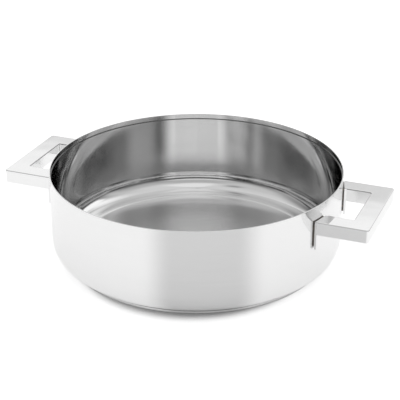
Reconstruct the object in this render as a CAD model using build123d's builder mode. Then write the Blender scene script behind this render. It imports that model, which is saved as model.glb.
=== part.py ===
from build123d import *
import math
import os

os.makedirs("parts", exist_ok=True)

# A wide, low two-handled pan. Origin at the centre of the face that it stands on, +Z up, handles along X.

# Pan body, drawn from one sheet
outer_radius = 140.0
rim_height = 89.0
wall_thickness = 1.6
bottom_rounding = 20.0
rim_rounding = 0.25

# Stepped seat for a lid, turned into the inside of the rim
lid_seat_depth = 4.8
lid_ledge_width = 0.6

# Fine ring pressed into the floor, inside the foot of the rounding
floor_ring_inset = 2.6
floor_ring_width = 0.9
floor_ring_depth = 0.3

# Base: an aluminium disc that spreads the heat, sealed in by a steel cap
core_thickness = 2.4
core_side_clearance = 0.1
cap_inset = 14.0
cap_thickness = 0.6
cap_edge_rounding = 1.1
cap_lip_gap = 0.04

# Handles: a flat rectangular loop of bar whose legs end in pads on the wall
handle_overhang = 42.0
handle_width = 98.0
handle_drop = 13.1
handle_corner_rounding = 3.0
bar_width = 18.2
bar_height = 13.1
bar_rounding = 1.0

# Pads at the ends of the legs, and the beds of weld metal that hold them off the wall
pad_width = 17.6
pad_height = 27.9
pad_thickness = 2.2
pad_corner_rounding = 0.8
pad_back_rounding = 0.3
pad_standoff = 0.9
weld_side_inset = 1.0
weld_top_inset = 1.0
weld_bottom_inset = 3.5

# Places worked out from the sizes above
body_underside = cap_thickness + core_thickness
floor_top = body_underside + wall_thickness
inner_radius = outer_radius - wall_thickness
lid_seat_radius = inner_radius + lid_ledge_width
lid_ledge_height = rim_height - lid_seat_depth
flat_radius = outer_radius - bottom_rounding
floor_ring_radius = flat_radius - floor_ring_inset

cap_radius = outer_radius - cap_inset
cap_inner_radius = cap_radius - cap_thickness
core_radius = cap_inner_radius - core_side_clearance
past_flat = max(cap_inner_radius - flat_radius, 0)
underside_at_lip = body_underside + bottom_rounding - math.sqrt(bottom_rounding**2 - past_flat**2)
cap_height = underside_at_lip - cap_lip_gap

handle_top = rim_height - handle_drop
handle_bottom = handle_top - bar_height
handle_end = outer_radius + handle_overhang
leg_offset = (handle_width - bar_width) / 2
leg_angle = math.degrees(math.asin(leg_offset / outer_radius))
leg_root = math.sqrt(outer_radius**2 - (handle_width / 2) ** 2)
hole_width = handle_width - 2 * bar_width
hole_end = handle_end - bar_width
pad_middle = handle_top - pad_height / 2
pad_back_radius = outer_radius + pad_standoff
weld_width = pad_width - 2 * weld_side_inset
weld_height = pad_height - weld_top_inset - weld_bottom_inset
weld_lift = (weld_bottom_inset - weld_top_inset) / 2


def pad_back(side):
    """The plane of a pad's back, upright and square to the wall's radius, facing away from the pan."""
    angle = math.radians(side * leg_angle)
    outward = Vector(math.cos(angle), math.sin(angle), 0)
    middle = outward * pad_back_radius + Vector(0, 0, pad_middle)
    return Plane(origin=middle, x_dir=Vector(-outward.Y, outward.X, 0), z_dir=outward)


pad_planes = [pad_back(side) for side in (-1, 1)]

# Outside form of the body, which the base and the weld beds also follow
with BuildPart() as pan_outside:
    with BuildSketch(Plane.XY.offset(body_underside)):
        Circle(outer_radius)
    extrude(amount=rim_height - body_underside)
    fillet(pan_outside.edges().group_by(Axis.Z)[0], bottom_rounding)

# The hollow of the body, one sheet's thickness inside it
with BuildPart() as pan_hollow:
    with BuildSketch(Plane.XY.offset(floor_top)):
        Circle(inner_radius)
    extrude(amount=rim_height - floor_top)
    fillet(pan_hollow.edges().group_by(Axis.Z)[0], bottom_rounding - wall_thickness)

# Pan body, hollowed, with the lid seat, the rounded rim and the ring in the floor
with BuildPart() as pan_body:
    add(pan_outside.part)
    add(pan_hollow.part, mode=Mode.SUBTRACT)
    with BuildSketch(Plane.XY.offset(lid_ledge_height)):
        Circle(lid_seat_radius)
    extrude(amount=lid_seat_depth, mode=Mode.SUBTRACT)
    fillet(pan_body.edges().filter_by_position(Axis.Z, rim_height, rim_height), rim_rounding)
    with BuildSketch(Plane.XZ):
        with BuildLine():
            Polyline(
                (floor_ring_radius - floor_ring_width / 2, floor_top),
                (floor_ring_radius, floor_top - floor_ring_depth),
                (floor_ring_radius + floor_ring_width / 2, floor_top),
                (floor_ring_radius, floor_top + floor_ring_depth),
                close=True,
            )
        make_face()
    revolve(axis=Axis.Z, mode=Mode.SUBTRACT)

pan_body.part.label = "pan_body"
export_step(pan_body.part, "parts/pan_body.step")

# Aluminium disc, whose upper edge follows the body's rounding
with BuildPart() as base_core:
    with BuildSketch(Plane.XY.offset(cap_thickness)):
        Circle(core_radius)
    extrude(amount=underside_at_lip - cap_thickness)
    add(pan_outside.part, mode=Mode.SUBTRACT)

base_core.part.label = "base_core"
export_step(base_core.part, "parts/base_core.step")

# Steel cap, a shallow dish pressed over the disc
with BuildPart() as base_cap:
    with BuildSketch():
        Circle(cap_radius)
    extrude(amount=cap_height)
    fillet(base_cap.edges().group_by(Axis.Z)[0], cap_edge_rounding)
    with BuildSketch(Plane.XY.offset(cap_thickness)):
        Circle(cap_inner_radius)
    extrude(amount=cap_height - cap_thickness, mode=Mode.SUBTRACT)

base_cap.part.label = "base_cap"
export_step(base_cap.part, "parts/base_cap.step")

# Right handle: the loop is made with square leg ends, which are then cut to the pads' front faces
with BuildPart() as handle_right:
    with BuildSketch(Plane.XY.offset(handle_bottom)):
        with Locations((leg_root, 0)):
            Rectangle(handle_end - leg_root, handle_width, align=(Align.MIN, Align.CENTER))
            Rectangle(hole_end - leg_root, hole_width, align=(Align.MIN, Align.CENTER), mode=Mode.SUBTRACT)
    extrude(amount=bar_height)
    fillet(handle_right.edges().filter_by(Axis.Z).group_by(Axis.X)[-1], handle_corner_rounding)
    level_edges = handle_right.faces().filter_by(Axis.Z).edges()
    inner_uprights = handle_right.edges().filter_by(Axis.Z).filter_by_position(Axis.X, leg_root, hole_end)
    fillet(level_edges + inner_uprights, bar_rounding)
    for plane in pad_planes:
        with BuildSketch(plane.offset(pad_thickness)):
            Rectangle(2 * bar_width, 2 * pad_height)
        extrude(amount=-bar_width, mode=Mode.SUBTRACT)
    for plane in pad_planes:
        with BuildSketch(plane):
            RectangleRounded(pad_width, pad_height, pad_corner_rounding)
        extrude(amount=pad_thickness)
    for plane in pad_planes:
        back = handle_right.faces().sort_by_distance(plane.origin)[0]
        fillet(back.edges(), pad_back_rounding)

handle_right.part.label = "handle_right"
export_step(handle_right.part, "parts/handle_right.step")

# Left handle, the same casting turned half round the pan
with BuildPart() as handle_left:
    add(handle_right.part, rotation=(0, 0, 180))

handle_left.part.label = "handle_left"
export_step(handle_left.part, "parts/handle_left.step")

# Weld beds behind the right handle's pads, from each pad's back to the wall
with BuildPart() as handle_right_welds:
    for plane in pad_planes:
        with BuildSketch(plane):
            with Locations((0, weld_lift)):
                Rectangle(weld_width, weld_height)
        extrude(amount=-(pad_standoff + wall_thickness))
    add(pan_outside.part, mode=Mode.SUBTRACT)

handle_right_welds.part.label = "handle_right_welds"
export_step(handle_right_welds.part, "parts/handle_right_welds.step")

# Weld beds behind the left handle's pads
with BuildPart() as handle_left_welds:
    add(handle_right_welds.part, rotation=(0, 0, 180))

handle_left_welds.part.label = "handle_left_welds"
export_step(handle_left_welds.part, "parts/handle_left_welds.step")
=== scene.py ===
import math

import bpy
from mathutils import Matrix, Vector


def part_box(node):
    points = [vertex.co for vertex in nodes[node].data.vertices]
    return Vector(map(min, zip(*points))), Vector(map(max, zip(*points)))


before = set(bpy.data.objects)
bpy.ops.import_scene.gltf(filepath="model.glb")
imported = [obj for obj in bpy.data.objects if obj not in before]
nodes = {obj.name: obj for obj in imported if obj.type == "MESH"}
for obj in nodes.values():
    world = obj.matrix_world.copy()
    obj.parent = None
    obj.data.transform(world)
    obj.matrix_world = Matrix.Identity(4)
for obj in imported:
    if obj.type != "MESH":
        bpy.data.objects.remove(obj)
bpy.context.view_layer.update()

MM = 0.001

# Camera, found by fitting the rim, the base and the handles' edges in the photograph
IMAGE_SIZE = 400
FOCAL_PIXELS = 1193.5
SENSOR_WIDTH = 36.0
CAMERA_AZIMUTH = math.radians(21.6)
CAMERA_ELEVATION = math.radians(25.09)
CAMERA_DISTANCE = 1.1544
AIM_RIGHT = 0.00336
AIM_HEIGHT = 0.05349
CLIP_START = 0.05
CLIP_END = 50

# The pan's own lines, where its finish changes
PAN_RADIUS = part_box("pan_body")[1].x
RIM_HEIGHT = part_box("pan_body")[1].z
PAN_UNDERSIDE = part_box("pan_body")[0].z
CAP_LIP_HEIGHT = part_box("base_cap")[1].z
WALL_THICKNESS = 1.6 * MM
BOTTOM_ROUNDING = 20.0 * MM
LID_SEAT_DEPTH = 4.8 * MM
LEDGE_HEIGHT = RIM_HEIGHT - LID_SEAT_DEPTH
FLAT_RADIUS = PAN_RADIUS - BOTTOM_ROUNDING
ROUNDING_TOP = PAN_UNDERSIDE + BOTTOM_ROUNDING


def make_camera():
    """Puts the camera at the photograph's viewing angle, aimed a little right of the pan's middle."""
    right = Vector((math.cos(CAMERA_AZIMUTH), math.sin(CAMERA_AZIMUTH), 0))
    level = math.cos(CAMERA_ELEVATION)
    back_x = math.sin(CAMERA_AZIMUTH) * level
    back_y = -math.cos(CAMERA_AZIMUTH) * level
    back = Vector((back_x, back_y, math.sin(CAMERA_ELEVATION)))
    aim = right * AIM_RIGHT + Vector((0, 0, AIM_HEIGHT))
    data = bpy.data.cameras.new("camera")
    data.sensor_width = SENSOR_WIDTH
    data.lens = FOCAL_PIXELS * SENSOR_WIDTH / IMAGE_SIZE
    data.clip_start = CLIP_START
    data.clip_end = CLIP_END
    camera = bpy.data.objects.new("camera", data)
    camera.location = aim + back * CAMERA_DISTANCE
    camera.rotation_euler = back.to_track_quat("Z", "Y").to_euler()
    bpy.context.scene.collection.objects.link(camera)
    bpy.context.scene.camera = camera


class Tree:
    """Short calls for building a node tree. A value is a number, or a socket of another node."""

    def __init__(self, tree):
        self.tree = tree
        tree.nodes.clear()

    def add(self, kind, **values):
        node = self.tree.nodes.new(kind)
        for name, value in values.items():
            setattr(node, name, value)
        return node

    def put(self, value, socket):
        if isinstance(value, (int, float)):
            socket.default_value = grey(value) if socket.type == "RGBA" else value
        else:
            self.tree.links.new(value, socket)

    def math(self, operation, *values):
        node = self.add("ShaderNodeMath", operation=operation)
        for value, socket in zip(values, node.inputs):
            self.put(value, socket)
        return node.outputs[0]

    def plus(self, first, second):
        return self.math("ADD", first, second)

    def minus(self, first, second):
        return self.math("SUBTRACT", first, second)

    def times(self, first, second):
        return self.math("MULTIPLY", first, second)

    def length(self, first, second):
        return self.math("SQRT", self.plus(self.times(first, first), self.times(second, second)))

    def split(self, vector):
        node = self.add("ShaderNodeSeparateXYZ")
        self.put(vector, node.inputs[0])
        return node.outputs

    def join(self, x, y, z):
        node = self.add("ShaderNodeCombineXYZ")
        for value, socket in zip((x, y, z), node.inputs):
            self.put(value, socket)
        return node.outputs[0]

    def step(self, value, low, high, start=0.0, end=1.0):
        """A smooth change from start to end as the value goes from low to high."""
        node = self.add("ShaderNodeMapRange", interpolation_type="SMOOTHSTEP")
        names = ("Value", "From Min", "From Max", "To Min", "To Max")
        for name, given in zip(names, (value, low, high, start, end)):
            self.put(given, node.inputs[name])
        return node.outputs[0]

    def blend(self, share, first, second):
        """The first value where the share is 0, and the second where it is 1."""
        node = self.add("ShaderNodeMix")
        for value, socket in zip((share, first, second), (node.inputs[0], node.inputs[2], node.inputs[3])):
            self.put(value, socket)
        return node.outputs[0]

    def noise(self, vector, detail):
        node = self.add("ShaderNodeTexNoise")
        node.inputs["Scale"].default_value = 1.0
        node.inputs["Detail"].default_value = detail
        self.put(vector, node.inputs["Vector"])
        return node.outputs["Fac"]

    def spread(self, noise, amount):
        """Noise about 0.5 turned into a change about 0, of that amount each way."""
        return self.times(self.minus(noise, 0.5), 2 * amount)

    def bump(self, height, depth, normal=None):
        """A bump of that depth in metres where the height goes from 0 to 1."""
        node = self.add("ShaderNodeBump")
        self.put(depth, node.inputs["Distance"])
        self.put(height, node.inputs["Height"])
        if normal is not None:
            self.put(normal, node.inputs["Normal"])
        return node.outputs[0]


def grey(level):
    """A grey with full alpha."""
    return (level, level, level, 1)


# A quarter turn, so that what shines is drawn out across the turned lines, not along them
ACROSS_THE_LINES = 0.25
# How much finer detail the noise of turned lines holds
TURNED_DETAIL = 3.0


class Metal(Tree):
    """A material with one metal shader, and the fields of place that its finish is built from."""

    def __init__(self, name, anisotropy=0.0):
        self.material = bpy.data.materials.new(name)
        self.material.use_nodes = True
        super().__init__(self.material.node_tree)
        self.shader = self.add("ShaderNodeBsdfPrincipled")
        self.shader.inputs["Metallic"].default_value = 1.0
        self.shader.inputs["Anisotropic"].default_value = anisotropy
        self.shader.inputs["Anisotropic Rotation"].default_value = ACROSS_THE_LINES
        if anisotropy:
            tangent = self.add("ShaderNodeTangent", direction_type="RADIAL", axis="Z")
            self.put(tangent.outputs[0], self.shader.inputs["Tangent"])
        output = self.add("ShaderNodeOutputMaterial")
        self.put(self.shader.outputs[0], output.inputs["Surface"])
        coordinates = self.add("ShaderNodeTexCoord")
        self.place = coordinates.outputs["Object"]
        self.facing = coordinates.outputs["Normal"]
        self.x, self.y, self.z = self.split(self.place)
        self.radius = self.length(self.x, self.y)
        # grows along a turned or pressed sheet's profile, from the axis outwards and up
        self.along = self.plus(self.radius, self.z)

    def turned_lines(self, pitch, reach):
        """Noise drawn out into lines round the axis, that far apart and each about that long."""
        across = self.times(self.along, 1 / pitch)
        x = self.times(self.x, 1 / reach)
        y = self.times(self.y, 1 / reach)
        return self.noise(self.join(across, x, y), TURNED_DETAIL)

    def stretched(self, x_size, y_size, z_size, detail):
        """Noise whose patches are about that large along each axis."""
        x = self.times(self.x, 1 / x_size)
        y = self.times(self.y, 1 / y_size)
        z = self.times(self.z, 1 / z_size)
        return self.noise(self.join(x, y, z), detail)

    def cloud(self, size, detail=2.0):
        """Even noise whose patches are about that large."""
        return self.stretched(size, size, size, detail)

    def finish(self, color, roughness, normal):
        self.put(color, self.shader.inputs["Base Color"])
        self.put(roughness, self.shader.inputs["Roughness"])
        self.put(normal, self.shader.inputs["Normal"])
        return self.material


# The pan's greys and its roughness, area by area
PAN_ANISOTROPY = 0.85
PAN_INSIDE_COLOR = 0.85
PAN_OUTSIDE_COLOR = 0.86
PAN_FLOOR_COLOR = 0.84
# The floor's middle is a brighter grey: painted sheen, for the bright fan that the turned floor reflects
PAN_MIDDLE_SHEEN_COLOR = 0.95
PAN_COLOR_SPREAD = 0.02
PAN_INSIDE_ROUGHNESS = 0.07
PAN_OUTSIDE_ROUGHNESS = 0.14
PAN_FLOOR_ROUGHNESS = 0.11
PAN_MIDDLE_ROUGHNESS = 0.16
PAN_LINES_SPREAD = 0.03
PAN_SWIRL_SPREAD = 0.02
# Inside and outside part at the middle of the sheet, over this much each way
SHEET_SOFTNESS = 0.05 * MM
# The floor's finish fades out into the bottom rounding, and so does its middle's between two radii: rougher, and a
# brighter grey that is painted sheen
FLOOR_FADE_START = FLAT_RADIUS - 1 * MM
FLOOR_FADE_END = FLAT_RADIUS + 10 * MM
FLOOR_MIDDLE_RADIUS = 55 * MM
FLOOR_MIDDLE_END = 85 * MM
# The rim's own finish starts this far below its top, and is full from this far below it
RIM_FINISH_START = 0.5 * MM
RIM_FINISH_FULL = 0.3 * MM
RIM_ROUGHNESS = 0.08
# The crease under the lid seat's ledge, which shows as a fine dark line: painted shade, a dark colour band, with a
# rougher finish
CREASE_HEIGHT = 0.8 * MM
CREASE_SOFTNESS = 0.15 * MM
CREASE_SHADE_COLOR = 0.25
CREASE_ROUGHNESS = 0.4
# The seam where the cap's lip meets the body, dark because it is so narrow: painted shade, a dark colour band
# above and below the lip
SEAM_ABOVE = 0.6 * MM
SEAM_BELOW = 0.8 * MM
SEAM_SOFTNESS = 0.15 * MM
SEAM_SHADE_COLOR = 0.12
# How deep the sheet's waves are, and the lines left by polishing and by brushing
SHEET_WAVE_DEPTH = 0.12 * MM
POLISHED_LINE_DEPTH = 0.0006 * MM
BRUSHED_LINE_DEPTH = 0.0025 * MM


def pan_finish():
    """Drawn steel: polished wall inside, turned floor, finely brushed wall outside, and a bright rim."""
    m = Metal("pan_steel_finish", anisotropy=PAN_ANISOTROPY)
    past = m.math("MAXIMUM", m.minus(m.radius, FLAT_RADIUS), 0.0)
    below = m.math("MAXIMUM", m.minus(ROUNDING_TOP, m.z), 0.0)
    sheet_middle = BOTTOM_ROUNDING - WALL_THICKNESS / 2
    outside = m.step(m.length(past, below), sheet_middle - SHEET_SOFTNESS, sheet_middle + SHEET_SOFTNESS)
    inside = m.minus(1.0, outside)
    floor = m.times(inside, m.step(m.radius, FLOOR_FADE_START, FLOOR_FADE_END, 1.0, 0.0))
    middle = m.times(inside, m.step(m.radius, FLOOR_MIDDLE_RADIUS, FLOOR_MIDDLE_END, 1.0, 0.0))
    rim = m.step(m.z, RIM_HEIGHT - RIM_FINISH_START, RIM_HEIGHT - RIM_FINISH_FULL)
    crease_bottom = LEDGE_HEIGHT - CREASE_HEIGHT
    crease_top = LEDGE_HEIGHT + CREASE_SOFTNESS
    crease_low = m.step(m.z, crease_bottom, crease_bottom + CREASE_SOFTNESS)
    crease_high = m.step(m.z, crease_top, crease_top + CREASE_SOFTNESS, 1.0, 0.0)
    crease = m.times(inside, m.times(crease_low, crease_high))

    fine = m.turned_lines(pitch=0.3 * MM, reach=30 * MM)
    broad = m.turned_lines(pitch=3 * MM, reach=90 * MM)
    swirl = m.cloud(size=9 * MM, detail=4.0)
    sheet = m.cloud(size=70 * MM)

    color = m.blend(floor, m.blend(outside, PAN_INSIDE_COLOR, PAN_OUTSIDE_COLOR), PAN_FLOOR_COLOR)
    # Painted sheen: the floor's middle is made a brighter grey
    color = m.plus(m.blend(middle, color, PAN_MIDDLE_SHEEN_COLOR), m.spread(broad, PAN_COLOR_SPREAD))
    # Painted shade: the crease under the ledge is coloured dark
    color = m.blend(crease, color, CREASE_SHADE_COLOR)
    # Painted shade: a dark band on the outside just above the cap's lip, for the shade in the seam
    seam_top = CAP_LIP_HEIGHT + SEAM_ABOVE
    seam_shade = m.step(m.z, seam_top - SEAM_SOFTNESS, seam_top, 1.0, 0.0)
    color = m.blend(m.times(outside, seam_shade), color, SEAM_SHADE_COLOR)

    roughness = m.blend(outside, PAN_INSIDE_ROUGHNESS, PAN_OUTSIDE_ROUGHNESS)
    roughness = m.blend(floor, roughness, PAN_FLOOR_ROUGHNESS)
    roughness = m.plus(m.blend(middle, roughness, PAN_MIDDLE_ROUGHNESS), m.spread(fine, PAN_LINES_SPREAD))
    roughness = m.plus(roughness, m.spread(swirl, PAN_SWIRL_SPREAD))
    roughness = m.blend(rim, roughness, RIM_ROUGHNESS)
    roughness = m.blend(crease, roughness, CREASE_ROUGHNESS)

    line_depth = m.blend(m.math("MAXIMUM", outside, floor), POLISHED_LINE_DEPTH, BRUSHED_LINE_DEPTH)
    normal = m.bump(sheet, SHEET_WAVE_DEPTH)
    normal = m.bump(fine, line_depth, normal)
    return m.finish(color, roughness, normal)


CAP_ANISOTROPY = 0.4
# The finish of the face that the pan stands on gives way to the side's between these heights
CAP_FACE_HEIGHT = 0.3 * MM
CAP_SIDE_HEIGHT = 0.9 * MM
CAP_SIDE_COLOR = 0.86
CAP_FACE_COLOR = 0.72
CAP_COLOR_SPREAD = 0.03
CAP_SIDE_ROUGHNESS = 0.2
CAP_FACE_ROUGHNESS = 0.3
CAP_ROUGHNESS_SPREAD = 0.06
CAP_RING_PITCH = 2.5 * MM
CAP_RING_DEPTH = 0.012 * MM
CAP_LINE_DEPTH = 0.003 * MM


def cap_finish():
    """Turned steel: rings that grow deeper underneath, and a finer band on the side that shows."""
    m = Metal("cap_steel_finish", anisotropy=CAP_ANISOTROPY)
    underneath = m.step(m.z, CAP_FACE_HEIGHT, CAP_SIDE_HEIGHT, 1.0, 0.0)
    fine = m.turned_lines(pitch=0.4 * MM, reach=40 * MM)
    rings = m.math("SINE", m.times(m.radius, 2 * math.pi / CAP_RING_PITCH))
    wear = m.cloud(size=14 * MM, detail=5.0)
    color = m.plus(m.blend(underneath, CAP_SIDE_COLOR, CAP_FACE_COLOR), m.spread(wear, CAP_COLOR_SPREAD))
    # Painted shade: a dark band on the cap's side just below its lip, for the shade in the seam
    seam_bottom = CAP_LIP_HEIGHT - SEAM_BELOW
    seam_shade = m.step(m.z, seam_bottom, seam_bottom + SEAM_SOFTNESS)
    color = m.blend(seam_shade, color, SEAM_SHADE_COLOR)
    roughness = m.blend(underneath, CAP_SIDE_ROUGHNESS, CAP_FACE_ROUGHNESS)
    roughness = m.plus(roughness, m.spread(fine, CAP_ROUGHNESS_SPREAD))
    normal = m.bump(rings, m.times(underneath, CAP_RING_DEPTH))
    normal = m.bump(fine, CAP_LINE_DEPTH, normal)
    return m.finish(color, roughness, normal)


CORE_COLOR = 0.78
CORE_COLOR_SPREAD = 0.05
CORE_ROUGHNESS = 0.42
CORE_ROUGHNESS_SPREAD = 0.1
CORE_GRAIN_DEPTH = 0.01 * MM


def core_finish():
    """Bare aluminium, dull where it was cut."""
    m = Metal("core_aluminium_finish")
    grain = m.cloud(size=1.5 * MM, detail=4.0)
    color = m.plus(CORE_COLOR, m.spread(grain, CORE_COLOR_SPREAD))
    roughness = m.plus(CORE_ROUGHNESS, m.spread(grain, CORE_ROUGHNESS_SPREAD))
    return m.finish(color, roughness, m.bump(grain, CORE_GRAIN_DEPTH))


HANDLE_COLOR = 0.86
HANDLE_EDGE_COLOR = 0.9
HANDLE_COLOR_SPREAD = 0.015
HANDLE_ROUGHNESS = 0.07
HANDLE_EDGE_ROUGHNESS = 0.06
HANDLE_ROUGHNESS_SPREAD = 0.02
HANDLE_WAVE_DEPTH = 0.12 * MM
SCRATCH_WIDTH = 0.25 * MM
SCRATCH_LENGTH = 7 * MM
SCRATCH_SPREAD = 0.02
SCRATCH_DEPTH = 0.0008 * MM
# An edge is where the surface looks along no axis: the largest part of its normal is below these
EDGE_FULL = 0.84
EDGE_NONE = 0.93
# The finger gaps' edges, measured from the pan's middle, are coloured darker: painted shade along the gaps' inner
# edges
GAP_EDGE_ACROSS = 32 * MM
GAP_EDGE_OUT = 165 * MM
GAP_EDGE_SOFTNESS = 0.3 * MM
GAP_EDGE_SHADE_COLOR = 0.4


def handle_finish(side):
    """Cast steel, ground flat and polished by hand: faces a little uneven, edges brighter."""
    m = Metal(f"handle_{side}_finish")
    parts = [m.math("ABSOLUTE", part) for part in m.split(m.facing)]
    squareness = m.math("MAXIMUM", m.math("MAXIMUM", parts[0], parts[1]), parts[2])
    edge = m.step(squareness, EDGE_FULL, EDGE_NONE, 1.0, 0.0)
    across = m.step(m.math("ABSOLUTE", m.y), GAP_EDGE_ACROSS, GAP_EDGE_ACROSS + GAP_EDGE_SOFTNESS, 1.0, 0.0)
    out = m.step(m.math("ABSOLUTE", m.x), GAP_EDGE_OUT, GAP_EDGE_OUT + GAP_EDGE_SOFTNESS, 1.0, 0.0)
    gap_edge_shade = m.times(edge, m.times(across, out))
    ground = m.cloud(size=34 * MM, detail=1.0)
    polish = m.cloud(size=6 * MM, detail=3.0)
    scratches = m.stretched(SCRATCH_WIDTH, SCRATCH_LENGTH, SCRATCH_WIDTH, detail=2.0)
    color = m.plus(m.blend(edge, HANDLE_COLOR, HANDLE_EDGE_COLOR), m.spread(polish, HANDLE_COLOR_SPREAD))
    # Painted shade: the finger gaps' edges are coloured darker
    color = m.blend(gap_edge_shade, color, GAP_EDGE_SHADE_COLOR)
    roughness = m.blend(edge, HANDLE_ROUGHNESS, HANDLE_EDGE_ROUGHNESS)
    roughness = m.plus(roughness, m.spread(polish, HANDLE_ROUGHNESS_SPREAD))
    roughness = m.plus(roughness, m.spread(scratches, SCRATCH_SPREAD))
    normal = m.bump(ground, HANDLE_WAVE_DEPTH)
    normal = m.bump(scratches, SCRATCH_DEPTH, normal)
    return m.finish(color, roughness, normal)


# Weld metal is grey where the noise is below the first place, and straw where it is above the second
WELD_GREY = (0.10, 0.10, 0.11, 1)
WELD_GREY_BELOW = 0.35
WELD_STRAW = (0.24, 0.21, 0.17, 1)
WELD_STRAW_ABOVE = 0.65
WELD_ROUGHNESS = 0.42
WELD_ROUGHNESS_SPREAD = 0.15
WELD_RIPPLE_DEPTH = 0.05 * MM


def weld_finish(side):
    """Weld metal, rough and darkened by heat, straw to grey in patches."""
    m = Metal(f"weld_{side}_finish")
    heat = m.cloud(size=2.5 * MM, detail=4.0)
    ripple = m.cloud(size=0.6 * MM, detail=3.0)
    ramp = m.add("ShaderNodeValToRGB")
    m.put(heat, ramp.inputs[0])
    low, high = ramp.color_ramp.elements
    low.position = WELD_GREY_BELOW
    low.color = WELD_GREY
    high.position = WELD_STRAW_ABOVE
    high.color = WELD_STRAW
    roughness = m.plus(WELD_ROUGHNESS, m.spread(ripple, WELD_ROUGHNESS_SPREAD))
    return m.finish(ramp.outputs[0], roughness, m.bump(ripple, WELD_RIPPLE_DEPTH))


def dress(node, material):
    """Gives a node of the frame a material in place of its plain one."""
    for slot in nodes[node].material_slots:
        slot.material = material


def studio_axes(t, vector):
    """How far a direction or place lies towards the camera's side, to the picture's right, and up."""
    x, y, z = t.split(vector)
    sine, cosine = math.sin(CAMERA_AZIMUTH), math.cos(CAMERA_AZIMUTH)
    towards = t.minus(t.times(x, sine), t.times(y, cosine))
    right = t.plus(t.times(x, cosine), t.times(y, sine))
    return towards, right, z


def degrees(t, angle):
    return t.math("DEGREES", angle)


# What stands round the pan. Each card has, in degrees, its middle as seen from the pan, which is 0 towards the
# camera and grows to the right, its half width, its lowest and highest edge, and how soft its upright and its
# level edges are. The last number is its brightness. A later card covers an earlier one.
CARDS = (
    (5, 180, 39, 98, 17, 17, 0.70),
    (180, 50, -20, 68, 14, 14, 0.93),
    (163, 17, -20, 25.2, 0.5, 0.5, 0.74),
    (-163, 17, -20, 22.2, 0.4, 0.4, 0.70),
    (-172, 9, 22.3, 24.2, 0.3, 0.3, 1.05),
    (172, 9, 25.3, 28, 0.4, 0.4, 1.05),
    (8, 32, 58, 88, 9, 9, 0.87),
    (-2, 30, 25.5, 54, 12, 2, 0.48),
    (-1, 24, 26, 32, 18, 2, 0.80),
    (3, 69, -10, 8, 8, 5, 0.95),
    (-3, 30, 5, 17, 10, 4, 0.45),
    (-60, 29, 27, 64, 17, 15, 0.60),
    (-48, 9, 56, 66, 8, 8, 0.25),
    (50, 20, 26, 42, 17, 15, 0.55),
    (-90, 24, 12, 31, 14, 14, 0.42),
    (80, 10, 17, 57, 14, 14, 0.60),
    (112, 14, 23, 57, 11, 11, 1.05),
    (110, 15, 26, 38, 4, 2, 1.10),
)
# How bright it is where no card stands
DARKEST = 0.03
HALF_TURN = 180.0


def make_world():
    """Soft white studio: plain white to the camera, and cards round the pan in what the metal reflects."""
    world = bpy.data.worlds.new("studio")
    bpy.context.scene.world = world
    world.use_nodes = True
    t = Tree(world.node_tree)
    towards, right, up = studio_axes(t, t.add("ShaderNodeTexCoord").outputs["Generated"])
    azimuth = degrees(t, t.math("ARCTAN2", right, towards))
    elevation = degrees(t, t.math("ARCSINE", up))
    level = DARKEST
    for middle, half_width, low, high, soft_sides, soft_ends, brightness in CARDS:
        away = t.math("ABSOLUTE", t.math("WRAP", t.minus(azimuth, middle), HALF_TURN, -HALF_TURN))
        card = t.step(away, half_width - soft_sides, half_width + soft_sides, 1.0, 0.0)
        card = t.times(card, t.step(elevation, low - soft_ends, low + soft_ends))
        card = t.times(card, t.step(elevation, high - soft_ends, high + soft_ends, 1.0, 0.0))
        level = t.blend(card, level, brightness)
    around = t.add("ShaderNodeBackground")
    t.put(level, around.inputs["Color"])
    white = t.add("ShaderNodeBackground")
    white.inputs["Color"].default_value = grey(1.0)
    mix = t.add("ShaderNodeMixShader")
    t.put(t.add("ShaderNodeLightPath").outputs["Is Camera Ray"], mix.inputs[0])
    t.put(around.outputs[0], mix.inputs[1])
    t.put(white.outputs[0], mix.inputs[2])
    output = t.add("ShaderNodeOutputWorld")
    t.put(mix.outputs[0], output.inputs["Surface"])


FLOOR_HALF = 4.0
FLOOR_COLOR = 0.9
# How much the floor glows where the camera sees it, which lifts it to plain white
FLOOR_GLOW_SEEN = 0.6
# The soft shadow round the base isn't lifted. It is two circles, one this far towards the camera from the pan's
# middle and one as far behind, and fades out between two distances from their middles.
SHADOW_TOWARDS = 0.028
SHADOW_RIGHT = -0.004
SHADOW_NEAR = 0.098
SHADOW_FAR = 0.113
# How much the floor glows in what the pan reflects, and in a greyer wedge there that opens towards the camera.
# The wedge's point is in metres from the pan's middle, and its middle, half width and softness are in degrees.
FLOOR_GLOW_REFLECTED = 0.46
WEDGE_GLOW = 0.17
WEDGE_POINT = 0.073
WEDGE_MIDDLE = 6.0
WEDGE_HALF_WIDTH = 36.0
WEDGE_SOFTNESS = 12.0
# Under the base only this share of that glow is left, and it is back in full between two distances from the middle
GLOW_UNDER_BASE = 0.1
GLOW_NEAR = 0.1265
GLOW_FAR = 0.131


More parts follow.
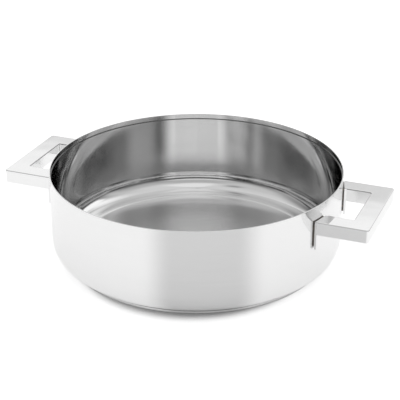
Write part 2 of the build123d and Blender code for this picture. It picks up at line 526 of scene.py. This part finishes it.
def make_floor():
    """A wide pale floor that keeps the pan's soft shadow."""
    mesh = bpy.data.meshes.new("floor")
    corners = [(x * FLOOR_HALF, y * FLOOR_HALF, 0) for x, y in ((-1, -1), (1, -1), (1, 1), (-1, 1))]
    mesh.from_pydata(corners, [], [(0, 1, 2, 3)])
    floor = bpy.data.objects.new("floor", mesh)
    bpy.context.scene.collection.objects.link(floor)
    material = bpy.data.materials.new("floor_white")
    material.use_nodes = True
    t = Tree(material.node_tree)
    paper = t.add("ShaderNodeBsdfDiffuse")
    paper.inputs["Color"].default_value = grey(FLOOR_COLOR)
    glow = t.add("ShaderNodeEmission")
    paths = t.add("ShaderNodeLightPath")
    towards, right, _ = studio_axes(t, t.add("ShaderNodeTexCoord").outputs["Object"])
    shadow_towards = t.minus(t.math("ABSOLUTE", towards), SHADOW_TOWARDS)
    from_shadow = t.length(shadow_towards, t.minus(right, SHADOW_RIGHT))
    open_floor = t.step(from_shadow, SHADOW_NEAR, SHADOW_FAR)
    angle = degrees(t, t.math("ARCTAN2", right, t.minus(towards, WEDGE_POINT)))
    away = t.math("ABSOLUTE", t.minus(angle, WEDGE_MIDDLE))
    wedge = t.step(away, WEDGE_HALF_WIDTH - WEDGE_SOFTNESS, WEDGE_HALF_WIDTH + WEDGE_SOFTNESS, 1.0, 0.0)
    seen = t.times(paths.outputs["Is Camera Ray"], t.times(open_floor, FLOOR_GLOW_SEEN))
    clear_of_base = t.step(t.length(towards, right), GLOW_NEAR, GLOW_FAR, GLOW_UNDER_BASE, 1.0)
    reflected = t.times(clear_of_base, t.blend(wedge, FLOOR_GLOW_REFLECTED, WEDGE_GLOW))
    reflected = t.times(paths.outputs["Is Glossy Ray"], reflected)
    t.put(t.plus(seen, reflected), glow.inputs["Strength"])
    both = t.add("ShaderNodeAddShader")
    t.put(paper.outputs[0], both.inputs[0])
    t.put(glow.outputs[0], both.inputs[1])
    output = t.add("ShaderNodeOutputMaterial")
    t.put(both.outputs[0], output.inputs["Surface"])
    mesh.materials.append(material)


make_camera()
make_world()
make_floor()
dress("pan_body", pan_finish())
dress("base_cap", cap_finish())
dress("base_core", core_finish())
for side in ("left", "right"):
    dress(f"handle_{side}", handle_finish(side))
    dress(f"handle_{side}_welds", weld_finish(side))

bpy.context.scene.view_settings.view_transform = "Standard"
